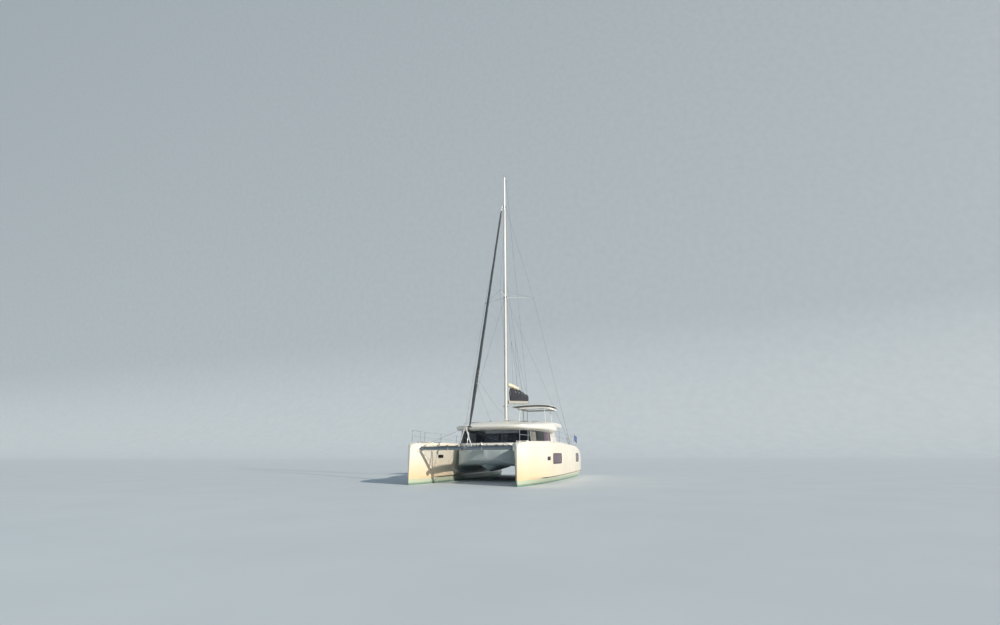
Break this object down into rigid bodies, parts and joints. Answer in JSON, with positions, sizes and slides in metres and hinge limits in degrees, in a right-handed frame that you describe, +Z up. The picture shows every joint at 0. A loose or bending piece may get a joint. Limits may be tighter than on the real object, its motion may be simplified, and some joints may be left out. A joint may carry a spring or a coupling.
{
  "type": "sailing catamaran",
  "caption": "Cruising sailing catamaran with plumb bows, rounded coach roof over wrap-round windows, raised helm under a bimini, furled headsail, boom with sail bag, rudders and propellers.",
  "frame": {"origin": "on the centre line, amidships, at the waterline", "axes": "+X towards the bows, +Y to port, +Z up along the mast"},
  "size_m": [12.8598, 7.7, 22.2266],
  "materials": {
    "gelcoat": "gloss gelcoat over laminate",
    "antifoul": "matt underwater paint",
    "deck": "moulded lid with non-slip top",
    "glass": "dark tinted acrylic",
    "alloy": "anodised extrusion",
    "white": "white powder coat",
    "steel": "polished stainless",
    "black": "black plastic",
    "cloth": "dark acrylic cloth",
    "net": "knotted dark netting",
    "cushion": "foam under woven cloth",
    "wood": "satin varnish",
    "bronze": "bare bronze",
    "engine": "painted block",
    "bimini": "moulded white top"
  },
  "bodies": {
    "boat": {"aft_window": "glass", "bimini_frame": "steel", "bimini_top": "bimini", "bow_roller": "steel", "bridge_deck": "gelcoat", "cap_shroud_port": "steel", "cap_shroud_starboard": "steel", "centre_beam": "gelcoat", "coach_roof": "gelcoat", "cockpit_seat": "gelcoat", "cockpit_table": "wood", "crossbeam": "alloy", "engine_port": "engine", "engine_starboard": "engine", "furled_genoa": "cloth", "furler_drum": "black", "guardrail_port": "steel", "guardrail_starboard": "steel", "gull_striker": "white", "helm_pod": "gelcoat", "helm_seat": "cushion", "hull_port": "gelcoat", "hull_starboard": "gelcoat", "hull_window_port": "glass", "hull_window_starboard": "glass", "keel_port": "antifoul", "keel_starboard": "antifoul", "mast": "white", "pulpit_port": "steel", "pulpit_starboard": "steel", "saildrive_port": "white", "saildrive_starboard": "white", "saloon_settee": "cushion", "saloon_table": "wood", "saloon_walls": "gelcoat", "side_window_port": "glass", "side_window_starboard": "glass", "spreader_port": "white", "spreader_starboard": "white", "trampoline_port": "net", "trampoline_starboard": "net", "winch": "steel", "windlass": "steel", "windscreen": "glass"},
    "port rudder": {"rudder_port": "antifoul"},
    "starboard rudder": {"rudder_starboard": "antifoul"},
    "helm wheel": {"helm_wheel": "steel"},
    "boom": {"boom": "alloy", "sail_bag": "cloth"},
    "port propeller": {"propeller_port": "bronze"},
    "starboard propeller": {"propeller_starboard": "bronze"},
    "saloon door": {"saloon_door": "glass"},
    "anchor locker lid": {"anchor_locker_lid": "deck"},
    "port engine lid": {"engine_lid_port": "deck"},
    "starboard engine lid": {"engine_lid_starboard": "deck"},
    "port forepeak lid": {"forepeak_lid_port": "deck"},
    "starboard forepeak lid": {"forepeak_lid_starboard": "deck"},
    "swim ladder": {"swim_ladder": "steel"}
  },
  "joints": [
    {"name": "rudder_port_turn", "type": "hinge", "parent": "boat", "child": "port rudder", "pos_m": [-5.48, 2.8, -0.25], "axis": [0, 0, 1], "range_deg": [-35, 35]},
    {"name": "rudder_starboard_turn", "type": "hinge", "parent": "boat", "child": "starboard rudder", "pos_m": [-5.48, -2.8, -0.25], "axis": [0, 0, 1], "range_deg": [-35, 35]},
    {"name": "helm_wheel_turn", "type": "hinge", "parent": "boat", "child": "helm wheel", "pos_m": [-3.245, 1, 2.98], "axis": [0.9553, 0, -0.2955], "range_deg": [-280, 280]},
    {"name": "boom_swing", "type": "hinge", "parent": "boat", "child": "boom", "pos_m": [-0.885, 0, 4.64], "axis": [0, 0, 1], "range_deg": [-60, 60]},
    {"name": "propeller_port_spin", "type": "hinge", "parent": "boat", "child": "port propeller", "pos_m": [-4.66, 2.8, -0.81], "axis": [1, 0, 0], "continuous": true},
    {"name": "propeller_starboard_spin", "type": "hinge", "parent": "boat", "child": "starboard propeller", "pos_m": [-4.66, -2.8, -0.81], "axis": [1, 0, 0], "continuous": true},
    {"name": "saloon_door_slide", "type": "slide", "parent": "boat", "child": "saloon door", "axis": [0, -1, 0], "range_m": [0, 0.85]},
    {"name": "anchor_locker_lid_lift", "type": "hinge", "parent": "boat", "child": "anchor locker lid", "pos_m": [2.652, 0, 1.943], "axis": [0, -1, 0], "range_deg": [0, 85]},
    {"name": "engine_lid_port_lift", "type": "hinge", "parent": "boat", "child": "port engine lid", "pos_m": [-4.387, 2.8, 1.164], "axis": [0, 1, 0], "range_deg": [0, 80]},
    {"name": "engine_lid_starboard_lift", "type": "hinge", "parent": "boat", "child": "starboard engine lid", "pos_m": [-4.387, -2.8, 1.164], "axis": [0, 1, 0], "range_deg": [0, 80]},
    {"name": "forepeak_lid_port_lift", "type": "hinge", "parent": "boat", "child": "port forepeak lid", "pos_m": [4.527, 2.66, 2.054], "axis": [0, -1, 0], "range_deg": [0, 95]},
    {"name": "forepeak_lid_starboard_lift", "type": "hinge", "parent": "boat", "child": "starboard forepeak lid", "pos_m": [4.527, -2.66, 2.054], "axis": [0, -1, 0], "range_deg": [0, 95]},
    {"name": "swim_ladder_fold", "type": "hinge", "parent": "boat", "child": "swim ladder", "pos_m": [-6.445, 2.73, 0.29], "axis": [0, -1, 0], "range_deg": [0, 170]}
  ],
  "couplings": [
    {"joint": "rudder_starboard_turn", "follows": "rudder_port_turn", "ratio": 1},
    {"joint": "helm_wheel_turn", "follows": "rudder_port_turn", "ratio": 8}
  ]
}
